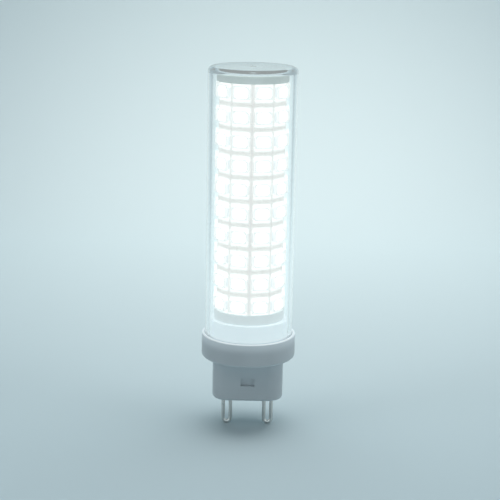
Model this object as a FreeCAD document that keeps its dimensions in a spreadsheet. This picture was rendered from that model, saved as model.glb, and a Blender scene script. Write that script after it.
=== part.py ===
import FreeCAD, Part
import math
import os
import re
import Sketcher

# An LED corn bulb with a bi-pin plug, standing upright, in millimetres.
# Z is up, and zero is the seat plane, the underside of the moulded collar.
# The seam of the rolled light board faces -Y, and the two pins lie along X.

driving_sizes = [
    ("fit_clearance", 0.1, "slip fit between moulded pieces"),
    ("cover_air", 0.65, "corners of the light packages to the cover"),
    ("cover_wall", 1.0, "wall of the clear cover"),
    ("cover_end_thickness", 0.85, "closed end of the cover"),
    ("cover_end_round", 1.0, "outer edge of the closed end"),
    ("round_steps", 3, "flats that round that edge"),
    ("gate_mark_diameter", 1.3, "moulding mark on the closed end"),
    ("gate_mark_depth", 0.35, "moulding mark on the closed end"),
    ("collar_rim", 0.6, "lip of the collar outside the cover"),
    ("collar_height", 5.2, "seat plane to the top of the lip"),
    ("collar_top_bevel", 0.3, "upper edge of the lip"),
    ("collar_foot_chamfer", 0.6, "lower edge of the collar"),
    ("groove_depth", 1.2, "groove that takes the rim of the cover"),
    ("spigot_height", 3.6, "step inside the cover, above the collar"),
    ("stand_height", 2.2, "step that the light column stands on"),
    ("end_inset", 0.05, "that step and the cap inside the package faces"),
    ("register_height", 3.0, "ring that centres the core tube"),
    ("register_wall", 0.9, "wall of that ring"),
    ("pin_side_room", 0.5, "pin loops to the end walls of the plug block"),
    ("plug_thickness", 8.6, "plug block across the pins"),
    ("plug_depth", 9.5, "plug block below the seat plane"),
    ("plug_corner", 3.4, "upright corners of the plug block"),
    ("plug_wall", 1.5, "walls of the plug block"),
    ("plug_floor", 1.8, "floor of the plug block"),
    ("plug_foot_bevel", 0.7, "lower edge of the plug block"),
    ("latch_width", 3.0, "notch for the holding spring, one on each broad side"),
    ("latch_height", 1.8, "the same notch"),
    ("latch_depth", 0.5, "the same notch"),
    ("latch_drop", 4.2, "seat plane to the top of the notch"),
    ("pin_spacing", 9.0, "between the middles of the two pins"),
    ("pin_wire", 0.8, "wire of the pins"),
    ("pin_sides", 12, "sides of the wire, as plain as its size allows"),
    ("pin_loop_width", 2.4, "outside of each wire loop"),
    ("pin_reach", 6.5, "pins below the plug block"),
    ("pin_inner_length", 2.2, "pin legs above the floor of the block"),
    ("pin_hole_clearance", 0.05, "gap round each pin leg"),
    ("column_count", 10, "flats of the light column"),
    ("row_count", 10, "light packages on each flat"),
    ("row_pitch", 5.055, "between rows of packages"),
    ("end_margin", 1.8, "board edge to the middle of the end rows"),
    ("board_apothem", 6.9, "axis to the outside of the flats"),
    ("board_thickness", 0.35, "rolled light board"),
    ("board_bend", 1.0, "outside of the bends between the flats"),
    ("board_seam", 0.5, "gap where the two edges of the roll meet"),
    ("package_width", 3.5, "light package round the column"),
    ("package_height", 2.8, "light package along the column"),
    ("package_thickness", 0.75, "light package"),
    ("package_mark", 0.45, "cut corner of the package"),
    ("window_width", 2.9, "recess that holds the phosphor"),
    ("window_height", 2.2, "the same recess"),
    ("window_depth", 0.12, "the same recess"),
    ("core_clearance", 0.05, "glue line between board and core tube"),
    ("core_wall", 0.6, "core tube"),
    ("core_window_width", 6.4, "window for the output wires"),
    ("core_window_height", 4.0, "the same window"),
    ("core_window_drop", 6.0, "top of the tube to the middle of the window"),
    ("cap_height", 1.9, "cap on the column"),
    ("cap_bevel", 0.25, "upper edge of the cap"),
    ("cap_plug_depth", 2.5, "ring of the cap inside the core tube"),
    ("cap_gap", 0.15, "air between the cap and the cover"),
    ("driver_width", 9.0, "driver board"),
    ("driver_thickness", 1.0, "driver board"),
    ("pin_room", 1.1, "pin legs to the foot of the rails"),
    ("rail_grip", 0.9, "rails that overlap the driver board"),
    ("rail_wall", 0.85, "rails beside the driver board"),
    ("rail_rise", 8.0, "rails above the seat plane"),
    ("rail_ledge", 0.9, "foot of the rails under the board"),
    ("rail_clearance", 0.05, "gap between rails and board"),
    ("storage_diameter", 5.0, "electrolytic capacitor"),
    ("storage_length", 11.0, "electrolytic capacitor"),
    ("storage_rise", 16.5, "seat plane to the capacitor"),
    ("storage_crimp", 0.3, "depth of the rolled groove in its can"),
    ("film_width", 7.0, "film capacitor"),
    ("film_thickness", 3.6, "film capacitor"),
    ("film_length", 9.5, "film capacitor"),
    ("film_rise", 15.5, "seat plane to the film capacitor"),
    ("film_round", 0.5, "edges of the film capacitor"),
    ("bridge_width", 3.9, "bridge rectifier"),
    ("bridge_length", 4.7, "bridge rectifier"),
    ("bridge_thickness", 2.4, "bridge rectifier"),
    ("bridge_gap", 2.0, "film capacitor to the rectifier"),
    ("bridge_leg_pitch", 2.54, "its legs"),
    ("chip_width", 3.9, "driver chip"),
    ("chip_length", 4.9, "driver chip"),
    ("chip_thickness", 1.5, "driver chip"),
    ("chip_gap", 2.3, "rectifier to the chip"),
    ("chip_headroom", 2.6, "chip to the top of the driver board"),
    ("chip_leg_pitch", 1.27, "its legs"),
    ("leg_width", 0.4, "legs of chip and rectifier"),
    ("leg_thickness", 0.3, "legs of chip and rectifier"),
    ("leg_reach", 1.0, "legs beside the body"),
    ("body_lift", 0.1, "chip and rectifier above the board"),
    ("body_bevel", 0.3, "top edges of chip and rectifier"),
    ("fuse_diameter", 2.4, "fuse resistor"),
    ("fuse_length", 6.4, "fuse resistor"),
    ("fuse_rise", 5.6, "seat plane to the fuse resistor"),
    ("fuse_end_bevel", 0.4, "ends of the fuse resistor"),
    ("resistor_width", 1.25, "chip resistor"),
    ("resistor_length", 2.0, "chip resistor"),
    ("resistor_thickness", 0.5, "chip resistor"),
    ("resistor_pitch", 2.4, "between chip resistors"),
    ("resistor_rise", 4.0, "seat plane to the chip resistors"),
    ("resistor_count", 3, "chip resistors in their row"),
    ("lead_diameter", 0.6, "insulated wires inside the bulb"),
    ("lead_bend", 0.7, "bends of those wires"),
    ("lead_sides", 6, "sides of the wires and solder joints, as plain as their size allows"),
    ("input_lead_room", 0.45, "solder of the input wires to the rails"),
    ("input_lead_stand", 1.1, "input wires off the driver board"),
    ("input_lead_rise", 3.0, "seat plane to their upper ends"),
    ("output_lead_stand", 2.1, "output wires off the driver board"),
    ("solder_radius", 0.75, "foot of a solder joint"),
    ("solder_tip_radius", 0.4, "top of a solder joint"),
    ("solder_height", 0.5, "solder joint"),
]

doc = FreeCAD.newDocument("CornBulb")
sheet = doc.addObject("Spreadsheet::Sheet", "Sizes")
for row, (alias, value, meaning) in enumerate(driving_sizes, start=1):
    sheet.set("A%d" % row, str(value))
    sheet.setAlias("A%d" % row, alias)
    sheet.set("B%d" % row, "'" + meaning)
doc.recompute()

aliases = {alias for alias, value, meaning in driving_sizes}
subparts = []

# Places that several pieces share, as formulas of the sheet
package_face = "(board_apothem + package_thickness)"
end_radius = "(" + package_face + " - end_inset)"
cover_inner = "(sqrt(" + package_face + "^2 + (package_width / 2)^2) + cover_air)"
cover_outer = "(" + cover_inner + " + cover_wall)"
groove_outer = "(" + cover_outer + " + fit_clearance)"
collar_radius = "(" + groove_outer + " + collar_rim)"
groove_floor = "(collar_height - groove_depth)"
spigot_top = "(collar_height + spigot_height)"
stand_top = "(collar_height + spigot_height + stand_height)"
board_height = "((row_count - 1) * row_pitch + 2 * end_margin)"
board_top = "(" + stand_top + " + " + board_height + ")"
cap_top = "(" + board_top + " + cap_height)"
cover_top = "(" + cap_top + " + cap_gap + cover_end_thickness)"
core_outer = "(board_apothem - board_thickness - core_clearance)"
core_inner = "(board_apothem - board_thickness - core_clearance - core_wall)"
register_outer = "(" + core_inner + " - fit_clearance)"
bore_radius = "(" + register_outer + " - register_wall)"
driver_foot = "(plug_floor + pin_inner_length + pin_room + rail_ledge - plug_depth)"
bridge_rise = "(film_rise + film_length + bridge_gap)"
chip_rise = "(" + bridge_rise + " + bridge_length + chip_gap)"
driver_height = "(" + chip_rise + " + chip_length + chip_headroom - " + driver_foot + ")"
plug_width = "(pin_spacing + pin_loop_width + 2 * (pin_side_room + plug_wall))"
rail_inner = "(driver_width / 2 - rail_grip)"


def formula(text):
    return re.sub(r"[a-z]\w*", lambda word: "Sizes." * (word.group() in aliases) + word.group(), text)


def number(alias):
    return float(sheet.get(alias))


def value_of(text):
    return float(sheet.evalExpression(formula(text)))


def new_body(label):
    body = doc.addObject("PartDesign::Body", label)
    body.Label = label
    subparts.append(body)
    return body


def new_sketch(body, name, role, offset="0"):
    sketch = body.newObject("Sketcher::SketchObject", name)
    plane = next(item for item in body.Origin.OriginFeatures if item.Role == role)
    sketch.AttachmentSupport = [(plane, "")]
    sketch.MapMode = "FlatFace"
    if offset != "0":
        sketch.setExpression("AttachmentOffset.Base.z", formula(offset))
    return sketch


def drive(sketch, kind, text, *points):
    position = sketch.addConstraint(Sketcher.Constraint(kind, *points, value_of(text)))
    sketch.setExpression("Constraints[%d]" % position, formula(text))


def pin_point(sketch, geometry, end, x, y):
    for kind, axis, text in (("DistanceX", -2, x), ("DistanceY", -1, y)):
        if text == "0":
            sketch.addConstraint(Sketcher.Constraint("PointOnObject", geometry, end, axis))
        else:
            drive(sketch, kind, text, -1, 1, geometry, end)


# A closed outline of straight sides through corners given as formulas
def add_outline(sketch, corners):
    first = sketch.GeometryCount
    count = len(corners)
    turns = [2 * math.pi * index / count for index in range(count)]
    spots = [FreeCAD.Vector(math.cos(turn), math.sin(turn), 0) for turn in turns]
    for index in range(count):
        sketch.addGeometry(Part.LineSegment(spots[index], spots[(index + 1) % count]), False)
    for index, (x, y) in enumerate(corners):
        following = first + (index + 1) % count
        sketch.addConstraint(Sketcher.Constraint("Coincident", first + index, 2, following, 1))
        pin_point(sketch, first + index, 1, x, y)


def add_rectangle(sketch, left, right, low, high):
    add_outline(sketch, [(left, low), (right, low), (right, high), (left, high)])


def add_centred_rectangle(sketch, half_width, half_height):
    add_rectangle(sketch, "-" + half_width, half_width, "-" + half_height, half_height)


# A rectangle round the origin with quarter arcs for corners
def add_rounded_rectangle(sketch, half_width, half_height, corner):
    first = sketch.GeometryCount
    reach = "(" + half_width + " - " + corner + ")"
    rise = "(" + half_height + " - " + corner + ")"
    ends = [("-" + reach, "-" + half_height), (reach, "-" + half_height),
            (half_width, "-" + rise), (half_width, rise),
            (reach, half_height), ("-" + reach, half_height),
            ("-" + half_width, rise), ("-" + half_width, "-" + rise)]
    spots = [FreeCAD.Vector(value_of(x), value_of(y), 0) for x, y in ends]
    radius = value_of(corner)
    for side in range(4):
        start, end = spots[2 * side], spots[2 * side + 1]
        following = spots[(2 * side + 2) % 8]
        sketch.addGeometry(Part.LineSegment(start, end), False)
        along = (end - start).normalize()
        centre = end + FreeCAD.Vector(-along.y, along.x, 0) * radius
        turn = math.pi / 2 * (side - 1)
        circle = Part.Circle(centre, FreeCAD.Vector(0, 0, 1), (following - centre).Length)
        sketch.addGeometry(Part.ArcOfCircle(circle, turn, turn + math.pi / 2), False)
    for side in range(4):
        line, arc, following = first + 2 * side, first + 2 * side + 1, first + (2 * side + 2) % 8
        pin_point(sketch, line, 1, *ends[2 * side])
        pin_point(sketch, line, 2, *ends[2 * side + 1])
        sketch.addConstraint(Sketcher.Constraint("Coincident", line, 2, arc, 1))
        sketch.addConstraint(Sketcher.Constraint("Coincident", arc, 2, following, 1))
        centre_x = reach if side in (0, 1) else "-" + reach
        drive(sketch, "DistanceX", centre_x, -1, 1, arc, 3)


# A regular polygon whose corners lie on a circle
def add_polygon(sketch, x, y, diameter, sides):
    turns = [2 * math.pi * side / sides for side in range(sides)]
    add_outline(sketch, [("(%s + %.9f * %s / 2)" % (x, math.cos(turn), diameter),
                          "(%s + %.9f * %s / 2)" % (y, math.sin(turn), diameter)) for turn in turns])


def add_circle(sketch, x, y, diameter):
    circle = sketch.addGeometry(Part.Circle(FreeCAD.Vector(1, 1, 0), FreeCAD.Vector(0, 0, 1), 1), False)
    pin_point(sketch, circle, 3, x, y)
    drive(sketch, "Diameter", diameter, circle)


def add_feature(body, kind, name, sketch, length, reversed_direction=False):
    feature = body.newObject("PartDesign::" + kind, name)
    feature.Profile = sketch
    feature.Type = "Length"
    feature.setExpression("Length", formula(length))
    feature.Reversed = reversed_direction
    return feature


def revolve(body, name, corners):
    sketch = new_sketch(body, name + "Profile", "XZ_Plane")
    add_outline(sketch, corners)
    turned = body.newObject("PartDesign::Revolution", name)
    turned.Profile = sketch
    turned.ReferenceAxis = (sketch, ["V_Axis"])
    turned.Angle = 360
    return turned


def dress_edges(body, kind, name, size, wanted):
    doc.recompute()
    base = body.Tip
    edges = ["Edge%d" % (place + 1) for place, edge in enumerate(base.Shape.Edges) if wanted(edge)]
    dressed = body.newObject("PartDesign::" + kind, name)
    dressed.Base = (base, edges)
    dressed.setExpression("Radius" if kind == "Fillet" else "Size", formula(size))
    return dressed


def is_ring(edge, height):
    curve = edge.Curve
    if not isinstance(curve, Part.Circle) or abs(abs(curve.Axis.z) - 1) > 1e-6:
        return False
    return abs(curve.Center.z - height) < 1e-3


# Picks the widest ring at a height, or at the top of the body
def outermost_ring(body, height=None):
    doc.recompute()
    shape = body.Tip.Shape
    level = shape.BoundBox.ZMax if height is None else height
    widest = max(edge.Curve.Radius for edge in shape.Edges if is_ring(edge, level))
    return lambda edge: is_ring(edge, level) and edge.Curve.Radius > widest - 1e-3


def is_upright(edge):
    low = edge.BoundBox
    return low.ZLength > 0.5 and low.XLength < 1e-6 and low.YLength < 1e-6


def axis_distance(edge):
    return math.hypot(edge.CenterOfMass.x, edge.CenterOfMass.y)


def pattern_along(body, name, originals, sketch, length, count):
    pattern = body.newObject("PartDesign::LinearPattern", name)
    pattern.Originals = originals
    pattern.Direction = (sketch, ["V_Axis"])
    pattern.setExpression("Length", formula(length))
    pattern.setExpression("Occurrences", formula(count))
    body.Tip = pattern
    return pattern


# Clear cover: a straight tube, closed and slightly rounded at its upper end,
# with the small mark of the mould's gate in the middle of that end
def make_clear_cover():
    body = new_body("clear_cover")
    ceiling = "(" + cover_top + " - cover_end_thickness)"
    gate_floor = "(" + cover_top + " - gate_mark_depth)"
    steps = int(number("round_steps"))
    turns = [math.pi / 2 * step / steps for step in range(steps + 1)]
    shoulder = [("(%s - %.9f * cover_end_round)" % (cover_outer, 1 - math.cos(turn)),
                 "(%s - %.9f * cover_end_round)" % (cover_top, 1 - math.sin(turn))) for turn in turns]
    revolve(body, "CoverTube", [
        (cover_inner, groove_floor),
        (cover_outer, groove_floor),
        *shoulder,
        ("gate_mark_diameter / 2", cover_top),
        ("gate_mark_diameter / 3", gate_floor),
        ("0", gate_floor),
        ("0", ceiling),
        (cover_inner, ceiling),
    ])


# Base housing: collar with its cover groove, stepped spigot and register ring
# over an oblong hollow plug block, with rails for the driver board inside
def make_base_housing():
    body = new_body("base_housing")
    spigot_radius = "(" + cover_inner + " - fit_clearance)"
    register_top = "(" + stand_top + " + register_height)"
    revolve(body, "Collar", [
        (bore_radius, "0"),
        (collar_radius, "0"),
        (collar_radius, "collar_height"),
        (groove_outer, "collar_height"),
        (groove_outer, groove_floor),
        (spigot_radius, groove_floor),
        (spigot_radius, spigot_top),
        (end_radius, spigot_top),
        (end_radius, stand_top),
        (register_outer, stand_top),
        (register_outer, register_top),
        (bore_radius, register_top),
    ])
    dress_edges(body, "Chamfer", "LipEdge", "collar_top_bevel", outermost_ring(body, number("collar_height")))
    dress_edges(body, "Chamfer", "FootEdge", "collar_foot_chamfer", outermost_ring(body, 0))

    block_sketch = new_sketch(body, "BlockOutline", "XY_Plane")
    add_rounded_rectangle(block_sketch, plug_width + " / 2", "plug_thickness / 2", "plug_corner")
    add_feature(body, "Pad", "Block", block_sketch, "plug_depth", True)
    foot = -number("plug_depth")
    dress_edges(body, "Chamfer", "BlockFoot", "plug_foot_bevel",
                lambda edge: edge.BoundBox.ZMax < foot + 1e-3)

    room_sketch = new_sketch(body, "RoomOutline", "XY_Plane")
    add_rounded_rectangle(room_sketch, "(" + plug_width + " / 2 - plug_wall)",
                          "(plug_thickness / 2 - plug_wall)", "(plug_corner - plug_wall)")
    add_feature(body, "Pocket", "Room", room_sketch, "plug_depth - plug_floor")

    rail_sketch = new_sketch(body, "RailOutline", "XY_Plane", driver_foot + " - rail_ledge")
    outer = "(" + plug_width + " / 2 - plug_wall / 2)"
    side = "(driver_thickness / 2 + rail_clearance + rail_wall)"
    for low, high in (("-" + outer, "-" + rail_inner), (rail_inner, outer)):
        add_rectangle(rail_sketch, low, high, "-" + side, side)
    add_feature(body, "Pad", "Rails", rail_sketch, "rail_rise + rail_ledge - " + driver_foot)
    slot_sketch = new_sketch(body, "SlotOutline", "XY_Plane", "rail_rise")
    add_centred_rectangle(slot_sketch, "(driver_width / 2 + rail_clearance)",
                          "(driver_thickness / 2 + rail_clearance)")
    add_feature(body, "Pocket", "Slot", slot_sketch, "rail_rise - " + driver_foot)

    hole_sketch = new_sketch(body, "PinHoles", "XY_Plane", "plug_floor - plug_depth")
    for middle in ("-pin_spacing / 2", "pin_spacing / 2"):
        for leg in (" - (pin_loop_width - pin_wire) / 2", " + (pin_loop_width - pin_wire) / 2"):
            add_circle(hole_sketch, middle + leg, "0", "pin_wire + 2 * pin_hole_clearance")
    add_feature(body, "Pocket", "PinHoleCut", hole_sketch, "plug_floor")

    for name, place, outward in (("Front", "plug_thickness / 2", False), ("Back", "-plug_thickness / 2", True)):
        latch_sketch = new_sketch(body, name + "LatchOutline", "XZ_Plane", place)
        add_rectangle(latch_sketch, "-latch_width / 2", "latch_width / 2",
                      "-(latch_drop + latch_height)", "-latch_drop")
        add_feature(body, "Pocket", name + "Latch", latch_sketch, "latch_depth", outward)


# Contact pin: one wire bent into a loop, its two legs held by the floor
def make_pin(label, side):
    body = new_body(label)
    leg = "(pin_loop_width - pin_wire) / 2"
    leg_top = "(plug_floor + pin_inner_length - plug_depth)"
    bend_height = "(pin_loop_width / 2 - plug_depth - pin_reach)"
    path = new_sketch(body, "LoopPath", "XZ_Plane")
    for line, place in enumerate(("-" + leg, leg)):
        rough_top = FreeCAD.Vector(line, number("pin_reach"), 0)
        path.addGeometry(Part.LineSegment(rough_top, FreeCAD.Vector(line, 0, 0)), False)
        pin_point(path, line, 1, place, leg_top)
        pin_point(path, line, 2, place, bend_height)
    whole = Part.Circle(FreeCAD.Vector(0.5, 0, 0), FreeCAD.Vector(0, 0, 1), 0.5)
    bend = path.addGeometry(Part.ArcOfCircle(whole, math.pi, 2 * math.pi), False)
    path.addConstraint(Sketcher.Constraint("Coincident", bend, 1, 0, 2))
    path.addConstraint(Sketcher.Constraint("Coincident", bend, 2, 1, 2))
    drive(path, "DistanceY", bend_height, -1, 1, bend, 3)
    section = new_sketch(body, "WireSection", "XY_Plane", leg_top)
    add_polygon(section, "-" + leg, "0", "pin_wire", int(number("pin_sides")))
    loop = body.newObject("PartDesign::AdditivePipe", "Loop")
    loop.Profile = section
    loop.Spine = path
    body.setExpression("Placement.Base.x", formula("%d * pin_spacing / 2" % side))


# Core tube: carries the rolled board, with a window for the output wires
def make_core_tube():
    body = new_body("core_tube")
    ring = new_sketch(body, "TubeRing", "XY_Plane", stand_top)
    add_circle(ring, "0", "0", "2 * " + core_outer)
    add_circle(ring, "0", "0", "2 * " + core_inner)
    add_feature(body, "Pad", "Tube", ring, board_height)
    window = new_sketch(body, "WindowOutline", "XZ_Plane")
    middle = "(" + board_top + " - core_window_drop)"
    add_rectangle(window, "-core_window_width / 2", "core_window_width / 2",
                  middle + " - core_window_height / 2", middle + " + core_window_height / 2")
    add_feature(body, "Pocket", "Window", window, core_outer + " + board_thickness")


# Light board: one strip rolled round the core in flats, one flat for each
# column of packages, with rounded bends and an open seam that faces -Y
def make_led_board():
    body = new_body("led_board")
    for kind, name, apothem in (("Additive", "OuterFlats", "board_apothem"),
                                ("Subtractive", "InnerFlats", "(board_apothem - board_thickness)")):
        prism = body.newObject("PartDesign::%sPrism" % kind, name)
        prism.AttachmentSupport = [(body.Origin.OriginFeatures[3], "")]
        prism.MapMode = "FlatFace"
        prism.AttachmentOffset = FreeCAD.Placement(
            FreeCAD.Vector(0, 0, 0), FreeCAD.Rotation(FreeCAD.Vector(0, 0, 1), -90))
        prism.setExpression("AttachmentOffset.Base.z", formula(stand_top))
        prism.setExpression("Polygon", formula("column_count"))
        prism.setExpression("Circumradius", formula(apothem + " / cos(180 deg / column_count)"))
        prism.setExpression("Height", formula(board_height))
    middle = number("board_apothem") - number("board_thickness") / 2
    middle_corner = middle / math.cos(math.pi / number("column_count"))
    dress_edges(body, "Fillet", "OuterBends", "board_bend",
                lambda edge: is_upright(edge) and axis_distance(edge) > middle_corner)
    dress_edges(body, "Fillet", "InnerBends", "board_bend - board_thickness",
                lambda edge: is_upright(edge) and axis_distance(edge) < middle_corner)
    seam = new_sketch(body, "SeamOutline", "XY_Plane", stand_top)
    add_rectangle(seam, "-board_seam / 2", "board_seam / 2", "-2 * board_apothem", "-" + core_inner)
    add_feature(body, "Pocket", "Seam", seam, board_height, True)


# Light packages: ten on each flat, each a low block with a cut corner and a
# shallow window for the phosphor
def make_led_column(place):
    body = new_body("led_column_%02d" % (place + 1))
    body.AllowCompound = True
    first_row = "(" + stand_top + " + end_margin)"
    block_sketch = new_sketch(body, "PackageOutline", "XZ_Plane", "board_apothem")
    half_width = "package_width / 2"
    low = first_row + " - package_height / 2"
    high = first_row + " + package_height / 2"
    add_outline(block_sketch, [
        ("-" + half_width, low),
        (half_width, low),
        (half_width, high + " - package_mark"),
        (half_width + " - package_mark", high),
        ("-" + half_width, high),
    ])
    block = add_feature(body, "Pad", "Package", block_sketch, "package_thickness")
    window_sketch = new_sketch(body, "WindowOutline", "XZ_Plane", "board_apothem + package_thickness")
    add_rectangle(window_sketch, "-window_width / 2", "window_width / 2",
                  first_row + " - window_height / 2", first_row + " + window_height / 2")
    window = add_feature(body, "Pocket", "Window", window_sketch, "window_depth")
    pattern_along(body, "Rows", [block, window], block_sketch, "(row_count - 1) * row_pitch", "row_count")
    body.setExpression("Placement.Rotation.Angle",
                       formula("(%d + 0.5) * 360 deg / column_count" % place))


# Cap: closes the light column, centred by a ring inside the core tube
def make_column_cap():
    body = new_body("column_cap")
    plug_end = "(" + board_top + " - cap_plug_depth)"
    revolve(body, "Cap", [
        ("0", board_top),
        (bore_radius, board_top),
        (bore_radius, plug_end),
        (register_outer, plug_end),
        (register_outer, board_top),
        (end_radius, board_top),
        (end_radius, cap_top),
        ("0", cap_top),
    ])
    dress_edges(body, "Chamfer", "CapEdge", "cap_bevel", outermost_ring(body))


def make_driver_board():
    body = new_body("driver_board")
    outline = new_sketch(body, "BoardOutline", "XY_Plane", driver_foot)
    add_centred_rectangle(outline, "driver_width / 2", "driver_thickness / 2")
    add_feature(body, "Pad", "Board", outline, driver_height)


# Chip or rectifier on the front of the driver board: a bevelled body, with
# each pair of legs as one bar that passes under it
def make_chip(label, width, length, thickness, rise, leg_pitch, leg_count):
    body = new_body(label)
    bar = new_sketch(body, "LegOutline", "XZ_Plane", "driver_thickness / 2")
    middle = "(" + rise + " + " + length + " / 2)"
    first_leg = "(" + middle + " - (%d - 1) * " % leg_count + leg_pitch + " / 2)"
    reach = "(" + width + " / 2 + leg_reach)"
    add_rectangle(bar, "-" + reach, reach, first_leg + " - leg_width / 2", first_leg + " + leg_width / 2")
    leg = add_feature(body, "Pad", "Leg", bar, "leg_thickness")
    shell = new_sketch(body, "BodyOutline", "XZ_Plane", "driver_thickness / 2 + body_lift")
    add_rectangle(shell, "-" + width + " / 2", width + " / 2", rise, rise + " + " + length)
    add_feature(body, "Pad", "Shell", shell, thickness)
    front = -number("driver_thickness") / 2 - number("body_lift") - number(thickness)
    dress_edges(body, "Chamfer", "ShellBevel", "body_bevel",
                lambda edge: edge.BoundBox.YMax < front + 1e-3)
    body.AllowCompound = True
    pattern_along(body, "Legs", [leg], bar, "(%d - 1) * " % leg_count + leg_pitch, "%d" % leg_count)


def make_film_capacitor():
    body = new_body("film_capacitor")
    outline = new_sketch(body, "BoxOutline", "XZ_Plane", "driver_thickness / 2")
    add_rectangle(outline, "-film_width / 2", "film_width / 2", "film_rise", "film_rise + film_length")
    add_feature(body, "Pad", "Box", outline, "film_thickness")
    board_face = -number("driver_thickness") / 2
    dress_edges(body, "Fillet", "BoxEdges", "film_round",
                lambda edge: is_upright(edge) and edge.BoundBox.YMax < board_face - 1e-3)


# Electrolytic capacitor lying along the back of the driver board, its can
# rolled in near the seal
def make_storage_capacitor():
    body = new_body("storage_capacitor")
    can = "storage_diameter / 2"
    waist = "(" + can + " - storage_crimp)"
    revolve(body, "Can", [
        ("0", "storage_rise"),
        (can, "storage_rise"),
        (can, "storage_rise + 3 * storage_crimp"),
        (waist, "storage_rise + 4 * storage_crimp"),
        (waist, "storage_rise + 5 * storage_crimp"),
        (can, "storage_rise + 6 * storage_crimp"),
        (can, "storage_rise + storage_length"),
        ("0", "storage_rise + storage_length"),
    ])
    body.setExpression("Placement.Base.y", formula("(driver_thickness + storage_diameter) / 2"))


def make_fuse_resistor():
    body = new_body("fuse_resistor")
    radius = "fuse_diameter / 2"
    revolve(body, "Sleeve", [
        ("0", "fuse_rise"),
        (radius, "fuse_rise"),
        (radius, "fuse_rise + fuse_length"),
        ("0", "fuse_rise + fuse_length"),
    ])
    low = number("fuse_rise")
    ends = (low, low + number("fuse_length"))
    dress_edges(body, "Chamfer", "SleeveEnds", "fuse_end_bevel",
                lambda edge: any(is_ring(edge, end) for end in ends))
    body.setExpression("Placement.Base.y", formula("(driver_thickness + fuse_diameter) / 2"))


def make_chip_resistors():
    body = new_body("chip_resistors")
    body.AllowCompound = True
    outline = new_sketch(body, "ResistorOutline", "XZ_Plane", "driver_thickness / 2")
    add_rectangle(outline, "-resistor_length / 2", "resistor_length / 2",
                  "resistor_rise - resistor_width / 2", "resistor_rise + resistor_width / 2")
    block = add_feature(body, "Pad", "Resistor", outline, "resistor_thickness")
    pattern_along(body, "Row", [block], outline, "(resistor_count - 1) * resistor_pitch", "resistor_count")


# A wire's middle line: straight runs joined by tangent arcs
def rounded_route(points, bend):
    edges = []
    start = points[0]
    for before, corner, after in zip(points, points[1:], points[2:]):
        back = (before - corner).normalize()
        ahead = (after - corner).normalize()
        half_angle = back.getAngle(ahead) / 2
        reach = bend / math.tan(half_angle)
        centre = corner + (back + ahead).normalize() * (bend / math.sin(half_angle))
        middle = centre + (corner - centre).normalize() * bend
        edges.append(Part.LineSegment(start, corner + back * reach).toShape())
        edges.append(Part.Arc(corner + back * reach, middle, corner + ahead * reach).toShape())
        start = corner + ahead * reach
    edges.append(Part.LineSegment(start, points[-1]).toShape())
    return Part.Wire(edges)


# A ring of straight sides round a point, square to a direction
def section_ring(centre, direction, radius):
    sides = int(number("lead_sides"))
    turn = FreeCAD.Rotation(FreeCAD.Vector(0, 0, 1), direction)
    angles = [2 * math.pi * (side + 0.5) / sides for side in range(sides + 1)]
    spots = [FreeCAD.Vector(radius * math.cos(angle), radius * math.sin(angle), 0) for angle in angles]
    return Part.makePolygon([centre + turn.multVec(spot) for spot in spots])


def lead_shape(points):
    direction = (points[1] - points[0]).normalize()
    section = section_ring(points[0], direction, number("lead_diameter") / 2)
    return rounded_route(points, number("lead_bend")).makePipeShell([section], True, False)


def bead_shape(foot, direction):
    tip = foot + direction * number("solder_height")
    rings = [section_ring(foot, direction, number("solder_radius")),
             section_ring(tip, direction, number("solder_tip_radius"))]
    return Part.makeLoft(rings, True, True)


def add_shape(label, shape):
    feature = doc.addObject("Part::Feature", label)
    feature.Label = label
    feature.Shape = shape
    subparts.append(feature)


# Wires and solder: from each pin up to the driver board, and from the board
# up to two flats of the light board, through the window in the core tube
def make_leads():
    half_board = number("driver_thickness") / 2
    leg_side = (number("pin_spacing") - number("pin_loop_width")) / 2
    leg_end = number("plug_floor") + number("pin_inner_length") - number("plug_depth")
    low = leg_end - number("lead_diameter")
    offset = value_of(rail_inner) - number("input_lead_room") - number("solder_radius")
    stand = half_board + number("input_lead_stand")
    joints = []
    for label, side in (("input_wire_left", -1), ("input_wire_right", 1)):
        foot = FreeCAD.Vector(side * leg_side, 0, low)
        top = FreeCAD.Vector(side * offset, half_board, number("input_lead_rise"))
        route = [
            foot,
            FreeCAD.Vector(side * offset, 0, low),
            FreeCAD.Vector(side * offset, stand, low),
            FreeCAD.Vector(side * offset, stand, top.z),
            top,
        ]
        shape = lead_shape(route)
        add_shape(label, shape)
        joints.append((top, FreeCAD.Vector(0, 1, 0), shape))

    flats = int(number("column_count"))
    inner_face = number("board_apothem") - number("board_thickness")
    exit_height = value_of(board_top) - number("core_window_drop")
    stand = half_board + number("output_lead_stand")
    for label, side in (("output_wire_left", -1), ("output_wire_right", 1)):
        outward = FreeCAD.Vector(side * math.sin(math.pi / flats), math.cos(math.pi / flats), 0)
        pad = outward * inner_face + FreeCAD.Vector(0, 0, exit_height)
        start = FreeCAD.Vector(pad.x, half_board, value_of(chip_rise))
        slant = number("lead_diameter") / 2 * math.tan(math.pi / flats)
        end = FreeCAD.Vector(pad.x, pad.y - slant, exit_height)
        route = [
            start,
            FreeCAD.Vector(pad.x, stand, start.z),
            FreeCAD.Vector(pad.x, stand, exit_height),
            end,
        ]
        shape = lead_shape(route)
        add_shape(label, shape)
        joints.append((start, FreeCAD.Vector(0, 1, 0), shape))
        joints.append((pad, -outward, shape))

    beads = []
    for foot, direction, shape in joints:
        beads.append(bead_shape(foot, direction).cut(shape))
    add_shape("solder_joints", Part.makeCompound(beads))


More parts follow.
